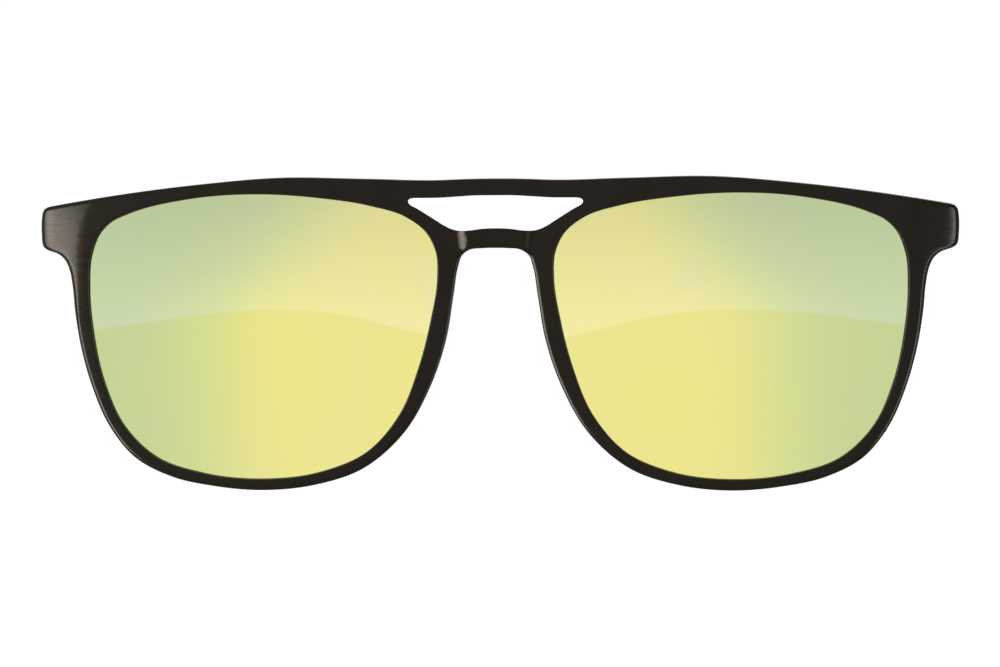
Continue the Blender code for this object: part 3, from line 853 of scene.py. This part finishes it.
def make_hinge():
    """Both leaves, the washers between their knuckles, the pin and its collar, the screws and the rivets."""
    washer, size = middle("friction_washer_right")
    inner = washer.x - size.x / 2 - 0.03
    near = washer.x + size.x / 2 + 0.03
    far = near + KNUCKLE_LONG
    front_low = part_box("front_leaf")[0].y / MM + ORIGIN.y
    rear_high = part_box("rear_leaf")[1].y / MM + ORIGIN.y
    front_knuckles = [(-inner, inner)]
    rear_knuckles = [(-far, -near), (near, far)]
    make_leaf("front_leaf", "front", SEAT_HALF - 0.3, 0.85, front_low, 0.35, front_knuckles, front_low + 0.1)
    rear_low = rear_high - 0.3
    make_leaf("rear_leaf", "carrier", 11.0, 0.72, rear_low, 0.3, rear_knuckles, rear_high - 0.1)
    for name, side in (("left", -1), ("right", 1)):
        ring = [(0.79, 0.075), (0.79, -0.075), (PIN_BORE_R, -0.075), (PIN_BORE_R, 0.075)]
        washer_ring = turned(f"washer_{name}", ring, (side * washer.x, washer.y, washer.z), "X")
        place(washer_ring, "bronze", "carrier", f"friction_washer_{name}", sharp=40)
        make_screw(name, side)
        make_rivet(name)
    end = far + 0.03
    centre = (0, washer.y, washer.z)
    profile = [(0, end + 0.6), (0.26, end + 0.6), (0.4, end + 0.48), (0.4, -end)]
    profile += [(0.7, -end), (0.7, -end - 0.26), (0.58, -end - 0.38), (0, -end - 0.4)]
    shaft = turned("pin", profile, centre, "X")
    slot_low = (-end - 0.6, washer.y - 0.09, washer.z - 1)
    slot = block("slot", slot_low, (-end - 0.22, washer.y + 0.09, washer.z + 1))
    combine(shaft, slot, "DIFFERENCE")
    place(shaft, "steel", "carrier", "hinge_pin", sharp=30)
    nut = [(0.58, end + 0.45), (0.7, end + 0.34), (0.7, end), (0.42, end), (0.42, end + 0.45)]
    place(turned("pin_collar", nut, centre, "X"), "steel", "carrier", "pin_nut", sharp=30)


def make_screw(name, side):
    """A slotted cheese-head screw."""
    node = f"leaf_screw_{name}"
    centre, size = middle(node)
    top = centre.y + size.y / 2
    bottom = centre.y - size.y / 2
    under = top - 0.32
    profile = [(0, top), (0.6, top), (0.7, top - 0.05), (0.75, top - 0.13), (0.75, under)]
    profile += [(0.45, under), (0.45, bottom + 0.2), (0.25, bottom), (0, bottom)]
    screw = turned(f"{node}_turned", [(r, h - centre.y) for r, h in profile], centre)
    slot = block("slot", (-1, -0.2, -0.08), (1, 1, 0.08))
    driven = Matrix.Rotation(0.5 * side + 0.3, 4, "Y")
    slot.data.transform(Matrix.Translation((centre.x, top, centre.z)) @ driven)
    combine(screw, slot, "DIFFERENCE")
    place(screw, "steel", "front", node, sharp=30)


def make_rivet(name):
    """A domed rivet through the rear leaf and the carrier plate."""
    node = f"leaf_rivet_{name}"
    centre, size = middle(node)
    low = centre.y - size.y / 2
    high = centre.y + size.y / 2
    turns = [math.radians(a) for a in range(0, 91, 15)]
    dome = [(0.7 * math.sin(a), low + 0.25 * (1 - math.cos(a))) for a in turns]
    profile = [(0, high), (0.38, high), (0.45, high - 0.07), (0.45, low + 0.25), *reversed(dome)]
    rivet = turned(f"{node}_turned", [(r, h - centre.y) for r, h in profile], centre)
    place(rivet, "steel", "carrier", node, sharp=30)


# ---- The carrier


def make_carrier():
    """The ring of sheet metal, with a cup and a pocket for each magnet and a hole for each rivet."""
    low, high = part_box("rear_leaf")[1].y / MM + ORIGIN.y + 0.03, ORIGIN.y
    loops = [trace(both_halves(half), OUTLINE_STEP) for half in (CARRIER_OUTER, CARRIER_INNER)]
    plate = flat_plate("carrier", loops, low, high, 0.12)
    for height in ("upper", "lower"):
        for name in ("left", "right"):
            node = f"carrier_magnet_{height}_{name}"
            centre, size = middle(node)
            radius, thick = size.x / 2, size.y
            cup = [(0, high - 0.35), (1.7, high - 0.35), (1.7, high - thick - 0.2)]
            cup += [(1.62, high - thick - 0.28), (0, high - thick - 0.28)]
            combine(plate, turned("cup", cup, (centre.x, 0, centre.z)), "UNION")
            pocket = [(0, high + 1), (radius + 0.05, high + 1)]
            pocket += [(radius + 0.05, high - thick - 0.03), (0, high - thick - 0.03)]
            combine(plate, turned("pocket", pocket, (centre.x, 0, centre.z)), "DIFFERENCE")
            make_magnet(node, "carrier")
    for name in ("left", "right"):
        centre, _ = middle(f"leaf_rivet_{name}")
        hole = [(0, high + 1), (0.49, high + 1), (0.49, low - 1), (0, low - 1)]
        combine(plate, turned("hole", hole, (centre.x, 0, centre.z)), "DIFFERENCE")
    place(plate, "carrier", "carrier", "carrier_plate", sharp=25)


# ---- Stage


def make_floor():
    """A pale floor a little below the part."""
    bpy.ops.mesh.primitive_plane_add(size=1.2, location=(0, 0, CAD_BOX[0].z - 0.13))
    floor = bpy.context.object
    floor.name = "floor"
    m = Nodes("pale_floor", (0.95, 0.95, 0.95), 0.9, Specular_IOR_Level=0.1)
    floor.data.materials.append(m.material)
    floor.visible_glossy = False  # the lenses and the glossy edges would mirror its outline


def make_world():
    """White all round to the eye; for lighting, darker toward the ground and to the right."""
    world = bpy.data.worlds.new("studio")
    bpy.context.scene.world = world
    world.use_nodes = True
    tree = world.node_tree
    background = tree.nodes["Background"]
    coordinate = tree.nodes.new("ShaderNodeTexCoord")
    parts = tree.nodes.new("ShaderNodeSeparateXYZ")
    ramp = tree.nodes.new("ShaderNodeValToRGB")
    for number, (at, light) in enumerate(((0, 0.65), (0.33, 0.95), (0.66, 0.95), (1, 1.0))):
        if number > 1:
            ramp.color_ramp.elements.new(at)
        ramp.color_ramp.elements[number].position = at
        ramp.color_ramp.elements[number].color = (light, 0.99 * light, 0.98 * light, 1)
    seen = tree.nodes.new("ShaderNodeLightPath")
    mix = tree.nodes.new("ShaderNodeMix")
    mix.data_type = "RGBA"
    mix.inputs[7].default_value = (1.0, 1.0, 1.0, 1)
    up = tree.nodes.new("ShaderNodeMapRange")
    up.inputs["From Min"].default_value = -1.0
    up.inputs["From Max"].default_value = 1.0
    links = tree.links
    links.new(coordinate.outputs["Generated"], parts.inputs[0])
    links.new(parts.outputs["Z"], up.inputs["Value"])
    links.new(up.outputs[0], ramp.inputs["Fac"])
    right = tree.nodes.new("ShaderNodeMapRange")
    for socket, value in (("From Min", 0.4), ("From Max", 0.62), ("To Min", 1.0), ("To Max", 0.5)):
        right.inputs[socket].default_value = value
    dim = tree.nodes.new("ShaderNodeMix")
    dim.data_type = "RGBA"
    dim.blend_type = "MULTIPLY"
    dim.inputs[0].default_value = 1.0
    links.new(parts.outputs["X"], right.inputs["Value"])
    links.new(ramp.outputs["Color"], dim.inputs[6])
    links.new(right.outputs[0], dim.inputs[7])
    links.new(dim.outputs[2], mix.inputs[6])
    links.new(seen.outputs["Is Camera Ray"], mix.inputs[0])
    links.new(mix.outputs[2], background.inputs["Color"])
    background.inputs["Strength"].default_value = 1.04


def direction(turn, rise):
    """From the object outward: turn is toward +X from straight in front, rise is upward, in degrees."""
    turn, rise = math.radians(turn), math.radians(rise)
    return Vector((math.sin(turn) * math.cos(rise), -math.cos(turn) * math.cos(rise), math.sin(rise)))


def rolled(aim, roll):
    """An aim along -Z, turned about its own line of sight by so many degrees."""
    return aim @ Matrix.Rotation(math.radians(roll), 3, "Z").to_quaternion()


def area_light(name, spot, target, size, power, colour=(1, 1, 1), roll=0.0):
    """A rectangular card of light at a spot, facing its target, unseen by the camera itself."""
    light = bpy.data.lights.new(name, "AREA")
    light.shape = "RECTANGLE"
    light.size, light.size_y = size
    light.energy = power
    light.color = colour
    obj = bpy.data.objects.new(name, light)
    obj.location = spot
    aim = (Vector(target) - Vector(spot)).to_track_quat("-Z", "Y")
    obj.rotation_euler = rolled(aim, roll).to_euler()
    obj.visible_camera = False
    bpy.context.scene.collection.objects.link(obj)
    return obj


def make_lights():
    """Two tall cards light the frame from the sides; a bluish card above shows in the lenses alone."""
    lenses = bpy.data.collections.new("lenses")
    others = bpy.data.collections.new("others")
    for obj in [o for o in bpy.data.objects if o.type == "MESH"]:
        (lenses if obj.name.endswith("_glass") else others).objects.link(obj)
    centre = (CAD_BOX[0] + CAD_BOX[1]) / 2
    away = 0.9
    warm = (1.0, 0.965, 0.93)
    key = area_light("key", centre + direction(-56, -8) * away, centre, (0.3, 0.9), 20, warm)
    side = area_light("side", centre + direction(60, -8) * away, centre, (0.12, 0.9), 7)
    sky_place = Vector((0, -1.3, 0.557))
    level = Vector((0, 0, sky_place.z))
    blue = (0.12, 0.14, 1.0)
    sky = area_light("sky_card", sky_place, level, (2.6, 1.2), 3.5, blue, 1.0)
    area_light("back_card", centre + direction(165, 52) * 1.1, centre, (0.9, 0.5), 5)
    for light, lit in ((key, others), (side, others), (sky, lenses)):
        light.light_linking.receiver_collection = lit


def make_camera():
    """A little above the lenses and to the viewer's right."""
    data = bpy.data.cameras.new("camera")
    data.lens = CAMERA_LENS
    data.sensor_width = 36
    data.clip_start = 0.01
    camera = bpy.data.objects.new("camera", data)
    target = (Vector((0.75, 0, 0.09)) - ORIGIN) * MM
    camera.location = target + direction(CAMERA_TURN, CAMERA_RISE) * CAMERA_AWAY
    aim = (target - camera.location).to_track_quat("-Z", "Y")
    camera.rotation_euler = rolled(aim, -CAMERA_ROLL).to_euler()
    bpy.context.scene.collection.objects.link(camera)
    bpy.context.scene.camera = camera
    bpy.context.scene.view_settings.view_transform = "Standard"


make_camera()
make_front()
make_lens("lens_left_glass", -1)
make_lens("lens_right_glass", 1)
for end in ("left", "right"):
    make_lug(end)
    make_bumper(end)
make_hinge()
make_carrier()
make_floor()
make_world()
make_lights()
